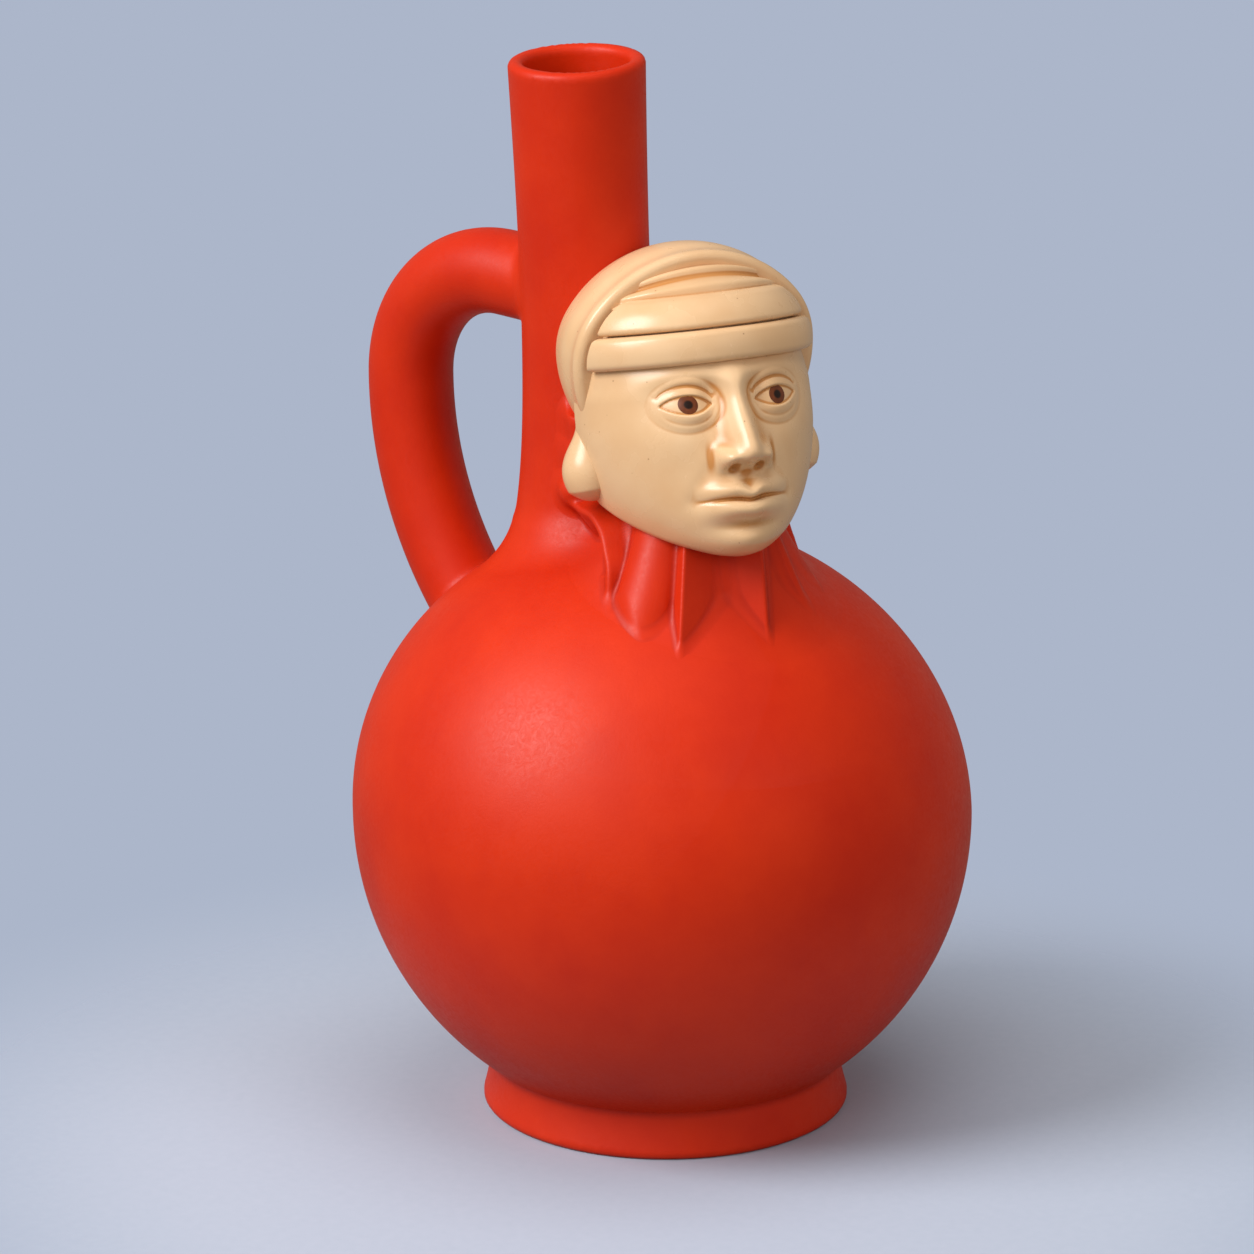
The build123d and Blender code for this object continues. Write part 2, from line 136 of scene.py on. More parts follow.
# Meshes a distance field with one vertex in each cell that the surface crosses
def fieldMesh(name, field, low, high, step, reach=1.3, block=6, perPass=2500):
    low = np.array(low, float)
    blocks = np.ceil((np.array(high, float) - low) / (step * block)).astype(int)
    n = blocks * block
    centres = [low[i] + ((np.arange(blocks[i]) + 0.5) * block - 0.5) * step for i in range(3)]
    coarse = field(np.stack(np.meshgrid(*centres, indexing="ij"), -1).reshape(-1, 3)).reshape(blocks)
    values = coarse.repeat(block, 0).repeat(block, 1).repeat(block, 2).astype(np.float32)
    near = np.argwhere(np.abs(coarse) < block * step * reach)
    offsets = np.stack(np.meshgrid(*[np.arange(block)] * 3, indexing="ij"), -1).reshape(-1, 3)
    for part in np.array_split(near, max(1, len(near) // perPass)):  # in passes, to spare memory
        cells = (part[:, None, :] * block + offsets[None]).reshape(-1, 3)
        values[cells[:, 0], cells[:, 1], cells[:, 2]] = field(low + cells * step)
    inside = values < 0
    corners = [(i, j, k) for i in (0, 1) for j in (0, 1) for k in (0, 1)]
    anyIn, allIn = np.zeros(n - 1, bool), np.ones(n - 1, bool)
    for i, j, k in corners:
        part = inside[i:n[0] - 1 + i, j:n[1] - 1 + j, k:n[2] - 1 + k]
        anyIn |= part
        allIn &= part
    cells = np.argwhere(anyIn & ~allIn)
    vals = [values[tuple((cells + c).T)] for c in corners]
    total, count = np.zeros((len(cells), 3)), np.zeros(len(cells))
    for i, a in enumerate(corners):
        for j, b in enumerate(corners):
            if i < j and sum(abs(u - v) for u, v in zip(a, b)) == 1:
                cross = (vals[i] < 0) != (vals[j] < 0)
                t = vals[i] / np.where(cross, vals[i] - vals[j], 1)
                total += np.where(cross[:, None], np.array(a) + t[:, None] * (np.array(b) - np.array(a)), 0)
                count += cross
    verts = low + (cells + total / count[:, None]) * step
    ids = np.full(n - 1, -1, np.int64)
    ids[tuple(cells.T)] = np.arange(len(cells))
    quads = []
    for axis, (u, v) in enumerate([(1, 2), (2, 0), (0, 1)]):
        first = np.moveaxis(inside, axis, 0)
        e = np.argwhere(np.moveaxis(first[:-1] != first[1:], 0, axis))
        e = e[(e[:, u] > 0) & (e[:, v] > 0) & (e[:, u] < n[u] - 1) & (e[:, v] < n[v] - 1)]
        du, dv = np.eye(3, dtype=int)[u], np.eye(3, dtype=int)[v]
        quad = np.stack([ids[tuple((e - s).T)] for s in (du * 0, du, du + dv, dv)], 1)
        quads.append(np.where(inside[tuple(e.T)][:, None], quad, quad[:, ::-1]))
    quads = np.vstack(quads)
    quads = quads[(quads >= 0).all(1)]
    # even the quads out, pulling them back onto the true surface each time
    ends = np.vstack([quads[:, [i, (i + 1) % 4]] for i in range(4)])
    number = np.maximum(np.bincount(ends[:, 0], minlength=len(verts)), 1)[:, None]
    for _ in range(3):
        mean = np.stack([np.bincount(ends[:, 0], verts[ends[:, 1], k], len(verts)) for k in range(3)], 1)
        verts = settle(verts + 0.5 * (mean / number - verts), field, step)
    return makeMesh(name, settle(verts, field, step), quads)


# Values of a table at v, smooth through its rows; the first column is v
def smoothRows(v, table):
    rows = np.array(table, float)
    v = np.clip(v, rows[0, 0], rows[-1, 0])
    row = np.clip(np.searchsorted(rows[:, 0], v, "left") - 1, 0, len(rows) - 2)
    after, before = np.vstack([rows[1:], rows[-1:]]), np.vstack([rows[:1], rows[:-1]])
    slopes = (after - before) / (after - before)[:, :1]
    step = rows[row + 1, 0] - rows[row, 0]
    t = (v - rows[row, 0]) / step
    out = []
    for k in range(1, rows.shape[1]):
        rise, start, end = rows[row + 1, k] - rows[row, k], slopes[row, k] * step, slopes[row + 1, k] * step
        out.append(rows[row, k] + t * start + t**2 * (3 * rise - 2 * start - end) + t**3 * (start + end - 2 * rise))
    return out


def readVerts(obj):
    co = np.empty(len(obj.data.vertices) * 3, np.float32)
    obj.data.vertices.foreach_get("co", co)
    return co.reshape(-1, 3).astype(float) / mm


# Stores how hollow or proud the surface is at each point, so that painted shade can darken the slip in a crease
def markCreaseShade(obj, field, width):
    verts = readVerts(obj)
    d = field(verts)
    bend = sum(field(verts + width * s * axis) - d for axis in np.eye(3) for s in (-1, 1)) / width
    mark = obj.data.attributes.new("creaseShade", "FLOAT", "POINT")
    mark.data.foreach_set("value", np.clip(bend, -1, 1).astype(np.float32))


# Red body: globe, foot, neck and handle, luted together and smoothed without a seam
globe = {"radius": 82.5, "rise": 77.4, "drop": 84.0, "rim": 82.0, "wall": 6.0, "base": 7.0, "edge": 2.5,
         "slumpUp": 0.035, "slumpDown": 0.012, "slumpWay": 40.0}
neck = {"back": 23.5, "lean": 2.8, "length": 124.5, "radius": 16.9, "lip": 18.2, "round": 1.8, "bore": 14.0,
        "fillet": 11.0, "spread": 4.4, "run": 22.0, "flareFrom": 50, "flarePower": 1.6, "root": 20, "boreRoot": 30}
head = {"forward": 33.5, "rise": 52.7, "turn": 28.0, "tilt": 15.5, "lift": 13.8}
jaw = {"slope": 27.0, "front": 28.0, "chin": 42.0}

crown = globe["rim"] + globe["rise"]
lean = math.radians(neck["lean"])
headY = neck["back"] + head["rise"] * math.tan(lean) - head["forward"]
turn = math.radians(head["turn"])
tilt = math.radians(head["tilt"])


def turned(x, y, angle):
    return x * math.cos(angle) - y * math.sin(angle), x * math.sin(angle) + y * math.cos(angle)


# The head's own frame counts heights from the eye line
def toHead(p):
    x, y = turned(p[:, 0], p[:, 1] - headY, turn)
    z = p[:, 2] - crown - head["rise"]
    y, z = turned(y, z, tilt)
    return x, y, z + head["lift"]


def fromHead(q):
    y, z = turned(q[:, 1], q[:, 2] - head["lift"], -tilt)
    x, y = turned(q[:, 0], y, -turn)
    return np.stack([x, y + headY, z + crown + head["rise"]], 1)


def overJaw(y, z):
    slope = math.radians(jaw["slope"])
    return (z + jaw["chin"]) * math.cos(slope) - (y + jaw["front"]) * math.sin(slope)


# Hand-built walls lean a little to the handle's side above the rim line and away from it below
def slumped(x, y, z):
    a = math.radians(globe["slumpWay"])
    s = (z - globe["rim"]) * np.where(z > globe["rim"], globe["slumpUp"], globe["slumpDown"])
    return x + s * math.sin(a), y - s * math.cos(a)


def globeField(x, y, z, inset):
    x, y = slumped(x, y, z)
    rz = np.where(z > globe["rim"], globe["rise"], globe["drop"]) - inset
    return roundBoth(ovalField(x, y, z - globe["rim"], globe["radius"] - inset, rz),
                     globe["base"] + inset - z, globe["edge"])


def shoulderHeight(x, y):
    return globe["rim"] + globe["rise"] * math.sqrt(1 - (x * x + y * y) / globe["radius"] ** 2)


foot = {"radius": 49.4, "waist": 46.6, "wall": 8.0, "height": 14.0, "edge": 2.2, "flarePower": 1.5, "join": 1.2}


def footField(x, y, z):
    x, y = slumped(x, y, z)
    up = np.clip(1 - z / foot["height"], 0, 1)
    outer = foot["waist"] + (foot["radius"] - foot["waist"]) * up ** foot["flarePower"]
    inner = foot["radius"] - foot["wall"]
    qr = np.abs(np.hypot(x, y) - (outer + inner) / 2) - (outer - inner) / 2 + foot["edge"]
    qz = np.abs(z - foot["height"] / 2) - foot["height"] / 2 + foot["edge"]
    return np.minimum(np.maximum(qr, qz), 0) + np.hypot(np.maximum(qr, 0), np.maximum(qz, 0)) - foot["edge"]


def neckLocal(x, y, z):
    dy, dz = y - neck["back"], z - crown
    return (np.hypot(x, dy * math.cos(lean) - dz * math.sin(lean)),
            dy * math.sin(lean) + dz * math.cos(lean))


handle = {"bar": 11.4, "rise": 61.0, "reach": 88.0, "topBend": 34.0, "sideBend": 95.0, "sweep": 60.0, "fillet": 2.5}


def handleField(x, y, z):
    top = crown + handle["rise"]
    start = neck["back"] + handle["rise"] * math.tan(lean)
    bendY, bendZ = handle["reach"] - handle["topBend"], top - handle["topBend"]
    d = np.hypot(y - np.clip(y, start, bendY), z - top)
    arcs = [(bendY, handle["topBend"], 0, 90),
            (handle["reach"] - handle["sideBend"], handle["sideBend"], -handle["sweep"], 0)]
    for centre, radius, low, high in arcs:
        angle = np.clip(np.arctan2(z - bendZ, y - centre), math.radians(low), math.radians(high))
        d = np.minimum(d, np.hypot(y - centre - radius * np.cos(angle), z - bendZ - radius * np.sin(angle)))
    return np.hypot(d, x) - handle["bar"]


# Collar folds count their turn from the front fold and are listed as the left hand has them; the right ones are
# tucked in. A pleat has the turn of its tip, the swing of its throat, the run of its left and right flanks, the reach
# of its tip from the collar's axis, a bow along its length and a rounding.
# Rolls and ridges have stations of turn, distance, height and radius; a height of None lies on the shoulder
collar = {
    "forward": 7.4, "twist": 11.0, "radius": 25.0, "taper": 0.42, "coreSlope": 0.92, "coreFloor": 15, "flare": 7.0,
    "blend": 1.4, "topRadius": 25.5, "topRise": 14.0, "depth": 9.0, "tuck": 4.5,
    "jawGap": 1.0, "earGap": 1.0, "lidTop": 34, "near": 14,
    "pleats": [(0, 7.5, 1.35, 0.7, 35.6, 0.3, 0.8), (-39.3, 0, 0.5, 1.15, 39.3, 0.4, 0.8),
               (33, 0, 1.2, 0.9, 38.5, 0.2, 2.0)],
    "pleatDeeper": 3, "pleatBack": 4,
    "broad": [(60, 16.4, 11, 7.6), (60, 20.4, 1, 8.5), (61, 25.4, -9, 9.1), (61.5, 31.0, -18.5, 9.0)],
    "broadTurn": 61.5, "broadReach": 37.0, "broadSlant": 33.0, "broadRound": 2.2,
    "lumps": [(138, 29.6, 32, 5.2), (138, 29.6, 27, 4.9), (138, 30.0, 23, 5.4), (137.5, 30.0, 18, 4.9),
              (134, 32.0, 13.5, 4.4)],
    "lumpBlend": 4.5,
    "ridge": [(137, 36.0, 15.5, 0), (132, 34.6, 11.8, 0), (121, 31.6, 10.8, 0), (109, 29.2, 10.6, 0),
              (96, 28.8, 7.8, 0), (87, 30.0, 3.6, 0), (81, 31.4, -0.6, 0), (77.5, 33.2, -7.6, 0),
              (73.5, 35.2, None, 0)],
    "ridgeLeft": 1.4, "ridgeRight": 0.3, "ridgeRound": 1.5,
    "rightCurl": [(126, 20, 29, 4.8), (116, 22, 19, 5.0), (103, 23, 11, 4.4), (88, 24, 3.5, 3.8), (75, 29, None, 1.2)],
    "pressedIn": 0.4, "sunk": 0.03, "sunkFade": 0.2, "inner": 2.4,
    "boxMiddle": (-3, -11, 167), "boxHalf": (43, 45, 31), "boxSpare": 2,
}


def toCollar(x, y):
    x, y = turned(x, y - headY, turn)
    return turned(x, y + collar["forward"], -math.radians(collar["twist"]))


def onShoulder(angle, far):
    a, c = math.radians(angle), math.radians(collar["twist"])
    x, y = turned(far * math.sin(a), -far * math.cos(a), c)
    x, y = turned(x, y - collar["forward"], -turn)
    return shoulderHeight(x, y + headY) - crown


# Distances out from the collar's axis and to the side, for a fold at an angle
def outAndAside(qx, qy, a):
    return qx * math.sin(a) - qy * math.cos(a), qx * math.cos(a) + qy * math.sin(a)


def pleatField(qx, qy, up, angle, swing, left, right, reach, bow, softness):
    tuck = collar["tuck"] if angle > 0 else 0
    top, reach = collar["topRadius"] - tuck, reach - tuck
    r, t = outAndAside(qx, qy, math.radians(angle))
    dr, du = reach - top, onShoulder(angle, reach) - collar["topRise"]
    length = math.hypot(dr, du)
    c, s = dr / length, du / length
    along = (r - top) * c + (up - collar["topRise"]) * s
    share = np.clip(along / length, 0, 1)
    h = (top - r) * s + (up - collar["topRise"]) * c - bow * np.sin(math.pi * share)
    body = wedgeField(h, t - top * math.sin(math.radians(swing)) * (1 - share), left, right, softness)
    return np.maximum(np.maximum(body, -h - collar["depth"] - collar["pleatDeeper"]), -along - collar["pleatBack"])


def foldLine(hand, stations, tuck=0, count=4):
    rows = []
    for angle, far, up, radius in stations:
        a = math.radians(hand * angle)
        height = onShoulder(hand * angle, far - tuck) - collar["pressedIn"] if up is None else up
        rows.append(((far - tuck) * math.sin(a), (tuck - far) * math.cos(a), height, radius))
    return smoothCurve(rows, count)


ridge = foldLine(-1, collar["ridge"], count=10)[0]
broadFolds = [(-1, foldLine(-1, collar["broad"])), (1, foldLine(1, collar["broad"], collar["tuck"]))]
lumps, rightCurl = foldLine(-1, collar["lumps"]), foldLine(1, collar["rightCurl"])


# A broad fold is a roll whose foot was pressed off on a slant
def broadField(part, line, hand):
    slant = math.radians(collar["broadSlant"])
    reach = collar["broadReach"] - (collar["tuck"] if hand > 0 else 0)
    r, t = outAndAside(part[:, 0], part[:, 1], math.radians(hand * collar["broadTurn"]))
    pressed = (r - reach) * math.cos(slant) + hand * t * math.sin(slant)
    return roundBoth(ropeField(part, *line), pressed, collar["broadRound"])


# Joins the collar to the body: first its flared core, then the folds that stand on it
def addCollar(body, p):
    x, y, z = p.T
    up = z - crown
    qx, qy = toCollar(x, y)
    _, hy, hz = toHead(p)
    lid = np.minimum(overJaw(hy, hz) - collar["jawGap"], collar["earGap"] - hy)  # under the jaw, free behind the ears
    lid = np.maximum(lid, up - collar["lidTop"])
    core = (np.hypot(qx, qy) - collar["radius"] + collar["taper"] * up) * collar["coreSlope"]
    core = np.maximum(np.maximum(core, lid), -collar["coreFloor"] - up)
    body = roundUnion(body, core, collar["flare"])
    q = np.stack([qx, qy, up], 1)
    folds = [(line[0], collar["blend"], lambda part, line=line, hand=hand: broadField(part, line, hand))
             for hand, line in broadFolds]
    folds += [(lumps[0], collar["lumpBlend"], lambda part: ropeField(part, *lumps)),
              (rightCurl[0], collar["blend"], lambda part: ropeField(part, *rightCurl)),
              (ridge, collar["blend"], lambda part: ridgeField(part, ridge, collar["ridgeLeft"], collar["ridgeRight"],
                                                               collar["ridgeRound"], collar["depth"]))]
    for points, blend, field in folds:
        near = ((q > points.min(0) - collar["near"]) & (q < points.max(0) + collar["near"])).all(1)
        if near.any():
            body[near] = roundUnion(body[near], np.maximum(field(q[near]), lid[near]), blend)
    for pleat in collar["pleats"]:
        body = roundUnion(body, np.maximum(pleatField(qx, qy, up, *pleat), lid), collar["blend"])
    return body


def vesselField(p):
    x, y, z = p.T
    across, along = neckLocal(x, y, z)
    flare = np.clip((along - neck["flareFrom"]) / (neck["length"] - neck["flareFrom"]), 0, 1) ** neck["flarePower"]
    spread = neck["spread"] * np.exp(-np.maximum(along, 0) / neck["run"])
    wide = neck["radius"] + (neck["lip"] - neck["radius"]) * flare + spread
    post = np.maximum(across - wide, -neck["root"] - along)
    post = roundBoth(post, along - neck["length"], neck["round"])
    body = roundUnion(globeField(x, y, z, 0), footField(x, y, z), foot["join"])
    body = roundUnion(body, post, neck["fillet"])
    return roundUnion(body, handleField(x, y, z), handle["fillet"])


def redField(p):
    x, y, z = p.T
    across, along = neckLocal(x, y, z)
    bore = np.maximum(across - neck["bore"], -neck["boreRoot"] - along)
    hollow = np.minimum(globeField(x, y, z, globe["wall"]), bore)
    return roundBoth(vesselField(p), -hollow, neck["round"])


# The collar is modelled on over the wall: its skin sinks just under the body's where the clay was smoothed out
def collarField(p):
    body = vesselField(p)
    full = addCollar(body.copy(), p)
    skin = full + collar["sunk"] * (1 - ramp(0, collar["sunkFade"], body - full))
    edge = (np.abs(p - collar["boxMiddle"]) - collar["boxHalf"]).max(1)
    return np.maximum(np.maximum(skin, -body - collar["inner"]), edge)


# Millimetres between a mesh's points, and the width over which a crease is felt for its painted shade
meshStep = {"redBody": 1.15, "pleatedCollar": 0.5, "headBall": 1.0, "headCloth": 0.5, "faceMask": 0.34}
creaseShadeWidth = {"redBody": 1.2, "pleatedCollar": 0.9, "headCloth": 1.4, "faceMask": 0.8}

redBody = fieldMesh("redBody", redField, (-86, -86, -3), (86, 104, 290), meshStep["redBody"])
markCreaseShade(redBody, redField, creaseShadeWidth["redBody"])
boxMiddle, boxReach = np.array(collar["boxMiddle"]), np.array(collar["boxHalf"]) + collar["boxSpare"]
pleatedCollar = fieldMesh("pleatedCollar", collarField, boxMiddle - boxReach, boxMiddle + boxReach,
                          meshStep["pleatedCollar"])
markCreaseShade(pleatedCollar, lambda p: addCollar(vesselField(p), p), creaseShadeWidth["pleatedCollar"])
print("red body", len(redBody.data.polygons), "faces, collar", len(pleatedCollar.data.polygons))


# Head ball with a flattened top; the head cloths are layers that start a little inside it
skull = {"radius": 29.7, "rise": 23.6, "corner": 17.0, "overlap": 1.5, "ballInset": 0.4}
bands = {"foot": 10.2, "lower": 9.0, "upper": 9.1, "lowerThick": 3.9, "upperThick": 3.3, "round": 1.5, "gap": 1.0,
         "groove": 0.2, "endRound": 1.0, "pillow": 0.35}
hoodCut = {"thick": 4.1, "front": 7.6, "lean": -18.0, "hem": -3.0, "round": 1.2, "corner": 1.2,
           "roll": 0.55, "rollBack": 2.0, "rollWide": 1.9, "dip": 0.3, "dipBack": 6.5, "dipWide": 2.6}


def ballField(x, y, z, layer):
    r, z = np.hypot(x, y), z - head["lift"]
    inset = skull["radius"] - skull["corner"]
    top = (inset**2 + skull["rise"] ** 2 - skull["corner"] ** 2) / (2 * (skull["rise"] - skull["corner"]))
    down = top - skull["rise"]
    corner = np.hypot(r - inset, z) - skull["corner"]
    cap = np.hypot(r, z + down) - top
    above = np.where(z * inset > (r - inset) * down, cap, corner)
    return np.where(z < 0, np.hypot(r, z) - skull["radius"], above) - layer


def hoodEdge(y, z):
    a = math.radians(hoodCut["lean"])
    return (z - bands["foot"]) * math.sin(a) - (y + hoodCut["front"]) * math.cos(a)


def hoodField(p):
    x, y, z = toHead(p)
    edge = hoodEdge(y, z)
    roll = hoodCut["roll"] * hump((edge + hoodCut["rollBack"]) / hoodCut["rollWide"])
    dip = hoodCut["dip"] * hump((edge + hoodCut["dipBack"]) / hoodCut["dipWide"])
    cut = roundBoth(edge, hoodCut["hem"] - z, hoodCut["corner"])
    shell = roundBoth(ballField(x, y, z, hoodCut["thick"] + roll - dip), cut, hoodCut["round"])
    return np.maximum(shell, -ballField(x, y, z, -skull["overlap"]))


# Cloth strip round the brow, a little fuller along its middle
def bandField(low, high, thick):
    def field(p):
        x, y, z = toHead(p)
        mid = (low + high) / 2
        strip = np.abs(z - mid) - (high - low) / 2 + bands["groove"]
        strip = roundBoth(strip, bands["gap"] - hoodEdge(y, z), bands["endRound"])
        pillow = thick - bands["pillow"] * ((z - mid) / (high - low) * 2) ** 2
        shell = roundBoth(ballField(x, y, z, pillow), strip, bands["round"])
        return np.maximum(shell, -ballField(x, y, z, -skull["overlap"]))
    return field


cloth = {"thick": 2.0, "roll": 1.5, "rollMiddle": 0.55, "fan": 21.5, "gather": 1.0, "endsFrom": 29, "endsTo": 14,
         "underHood": 3, "underBand": 2.5}


# Rolls of gathered cloth that meet at the temples
def clothField(p):
    x, y, z = toHead(p)
    top = bands["foot"] + bands["lower"] + bands["upper"]
    fan = np.degrees(np.arctan2(z - top + cloth["gather"], -y - hoodCut["front"] + cloth["gather"]))
    ends = ramp(cloth["endsFrom"], cloth["endsTo"], np.abs(x))
    rolls = np.sin(np.radians(fan * 180 / cloth["fan"])) ** 2
    thick = cloth["thick"] + cloth["roll"] * ends * (rolls - cloth["rollMiddle"])
    shell = np.maximum(ballField(x, y, z, thick), -ballField(x, y, z, -skull["overlap"]))
    return np.maximum(np.maximum(shell, -hoodEdge(y, z) - cloth["underHood"]), top - cloth["underBand"] - z)


ear = {"spread": 28.5, "back": 3.5, "radius": 7.3, "longer": 0.4, "drop": 20.4, "stem": 3.6, "stemIn": 1.0,
       "stemForward": 0.5, "stemMiddle": 15, "stemHalf": 9, "join": 6}


def earField(side):
    def field(p):
        x, y, z = toHead(p)
        up = z - hoodCut["hem"] + ear["drop"]
        x, y = x - side * ear["spread"], y - ear["back"]
        bulb = ovalField(x, y, up - ear["radius"], ear["radius"], ear["radius"] + ear["longer"])
        stem = np.hypot(x + side * ear["stemIn"], y + ear["stemForward"]) - ear["stem"]
        return roundUnion(bulb, np.maximum(stem, np.abs(up - ear["stemMiddle"]) - ear["stemHalf"]), ear["join"])
    return field


headLow, headHigh = (-42, -56, 160), (40, 28, 245)
bandMid = bands["foot"] + bands["lower"]
creamFields = {
    "hood": hoodField,
    "crownCloth": clothField,
    "lowerHeadband": bandField(bands["foot"], bandMid, bands["lowerThick"]),
    "upperHeadband": bandField(bandMid, bandMid + bands["upper"], bands["upperThick"]),
    "earBulbLeft": earField(-1),
    "earBulbRight": earField(1),
    "headBall": lambda p: ballField(*toHead(p), -skull["ballInset"]),
}
cream = {}
for name, field in creamFields.items():
    cream[name] = fieldMesh(name, field, headLow, headHigh, meshStep["headBall" if name == "headBall" else "headCloth"])
    markCreaseShade(cream[name], field, creaseShadeWidth["headCloth"])
print("head cloths done")


# Face: calm and even, drawn as relief on a plain oval that narrows to the chin.
# Forms are soft swells and hollows: how far out, then the middle and width across, then the middle and width up.
# The oval has height, width and depth in shares of the chin's drop and the head's radius; the nose has height above
# its tip, how far out and half its width
face = {
    "eyes": 12.5, "mouth": -25.4, "noseTip": -13.5, "noseSquare": 2.3,
    "nose": [(-7, 0, 5.4), (-5, 0.5, 5.2), (-3.2, 4.0, 5.0), (-1.2, 8.2, 4.9), (1, 9.3, 4.7), (4, 8.4, 4.4),
             (9, 6.0, 4.0), (15, 3.4, 3.6), (21, 1.2, 3.9), (25, 0, 4.2)],
    "oval": [(-1.00, 0.24, 0.76), (-0.94, 0.48, 0.98), (-0.81, 0.72, 1.09), (-0.57, 0.93, 1.11),
             (-0.24, 1.05, 1.11), (0.05, 1.06, 1.09), (0.16, 1.04, 1.06), (0.25, 1.02, 1.03)],
    "forms": {"betweenBrows": (0.7, 0, 5, 6, 4), "eyeSocket": (-3.2, 12.5, 8.6, 1.4, 6),
              "innerCorner": (-1.5, 6.4, 3.2, 1, 4.5), "noseWing": (4.6, 5.9, 2.5, -14.4, 2.9),
              "wingCrease": (-0.8, 8.8, 1.1, -14.1, 3.2), "nostril": (-2.6, 3.5, 1.6, -17.1, 1.3),
              "cheek": (1.6, 18, 8.5, -9, 8), "mouthMound": (2.8, 0, 14, -24.4, 8.5),
              "lipGroove": (-0.6, 0, 1.6, -20.0, 2.2), "underLip": (-1.3, 0, 8, -32.4, 2.0),
              "chin": (2.6, 0, 8.5, -37, 4.6)},
    "brow": {"out": 1.9, "up": 7.4, "arch": 0.012, "tall": 2.6, "wide": 11},
    "eyeball": {"out": 3.7, "wide": 8.4, "tall": 6.4, "power": 1.6},
    "cheekFold": {"out": 0.55, "aside": 9.5, "slant": 0.5, "from": -17, "wide": 2.2, "up": -21, "tall": 5},
    "jawRound": 2.4, "behind": 3, "underBand": 2,
}
lids = {"half": 6.6, "slant": 0.25, "upper": (2.7, 0.8), "lower": (-2.6, 0.9), "edge": (-0.25, 0.35),
        "wide": 9.4, "tall": 7.6, "fade": 0.45, "thick": 1.0,
        "folds": [(0.75, 2.3, 0.7, 1.25, 0.35), (0.3, -2.4, 0.8, 1.1, 0.5)]}  # depth, gap, width, end and its fade
lips = {"half": 13.4, "power": 1.3, "parting": [(-0.35, 0, 2.4), (0.25, 6, 4)], "bowRise": 2.3,
        "bow": [(-0.5, 0, 2.0), (0.3, 3.5, 2.2)], "upper": (2.6, 2.1), "lower": (3.0, 2.8, 2.6), "gap": (2.0, 0.65),
        "corner": (0.7, 12.4, 2.2, 1.9)}


def ovalAt(z):
    return [skull["radius"] * v for v in smoothRows(z / jaw["chin"], face["oval"])]


# Lid edges above and below the eye, and how far along them a point is
def lidEdges(eye):
    u = eye / lids["half"]
    arch = np.clip(1 - u * u, 0, 1)
    return u, *[rise * arch**power + lids["slant"] * u for rise, power in (lids["upper"], lids["lower"])]


def lidRelief(eye, z):
    u, upper, lower = lidEdges(eye)
    opening = ramp(*lids["edge"], upper - z) * ramp(*lids["edge"], z - lower) * (np.abs(u) < 1)
    around = np.clip(1 - (eye / lids["wide"]) ** 2 - (z / lids["tall"]) ** 2, 0, 1)
    relief = lids["thick"] * ramp(0, lids["fade"], around) * (1 - opening)
    for edge, (depth, gap, wide, end, fade) in zip((upper, lower), lids["folds"]):
        relief -= depth * hump((z - edge - gap) / wide) * ramp(0, fade, end - np.abs(u))
    return relief


def lipRelief(side, z):
    parting = face["mouth"] + sum(out * hump((side - mid) / wide) for out, mid, wide in lips["parting"])
    bow = lips["bowRise"] + sum(out * hump((side - mid) / wide) for out, mid, wide in lips["bow"])
    full = np.clip(1 - (side / lips["half"]) ** 2, 0, 1) ** lips["power"]
    upperOut, upperTall = lips["upper"]
    lowerOut, lowerDrop, lowerTall = lips["lower"]
    gapIn, gapTall = lips["gap"]
    relief = upperOut * full * hump((z - parting - bow) / upperTall)
    relief += lowerOut * full * hump((z - parting + lowerDrop) / lowerTall)
    relief -= gapIn * full * hump((z - parting) / gapTall)
    depth, aside, wide, tall = lips["corner"]
    return relief - depth * hump((side - aside) / wide) * hump((z - parting) / tall)


def faceRelief(x, z, withLids=True):
    side = np.abs(x)
    eye = side - face["eyes"]
    relief = sum(out * hump((side - mid) / wide) * hump((z - up) / tall)
                 for out, mid, wide, up, tall in face["forms"].values())
    brow, ball, fold = face["brow"], face["eyeball"], face["cheekFold"]
    relief += brow["out"] * hump((z - brow["up"] + brow["arch"] * eye**2) / brow["tall"]) * hump(eye / brow["wide"])
    relief += ball["out"] * np.clip(1 - (eye / ball["wide"]) ** 2 - (z / ball["tall"]) ** 2, 0, 1) ** ball["power"]
    bridge, wide = smoothRows(z - face["noseTip"], face["nose"])
    relief += bridge * np.exp(-np.abs(x / wide) ** face["noseSquare"])
    across = side - fold["aside"] + fold["slant"] * (z - fold["from"])
    relief -= fold["out"] * hump(across / fold["wide"]) * hump((z - fold["up"]) / fold["tall"])
    relief += lipRelief(side, z)
    return relief + lidRelief(eye, z) if withLids else relief


def faceField(p):
    x, y, z = toHead(p)
    width, depth = ovalAt(z)
    flat = np.clip(1 - (x / width) ** 2, 0, 1)
    front = np.minimum(y + faceRelief(x, z) * flat, 0)
    body = (np.hypot(x / width, front / depth) - 1) * skull["radius"]
    body = roundBoth(body, -overJaw(y, z), face["jawRound"])
    return np.maximum(np.maximum(body, z - bands["foot"] - face["underBand"]), y - face["behind"])


irisDisc = {"radius": 2.45, "rise": 0.2, "proud": 0.06, "rings": 8, "spokes": 40, "centre": 0.02}


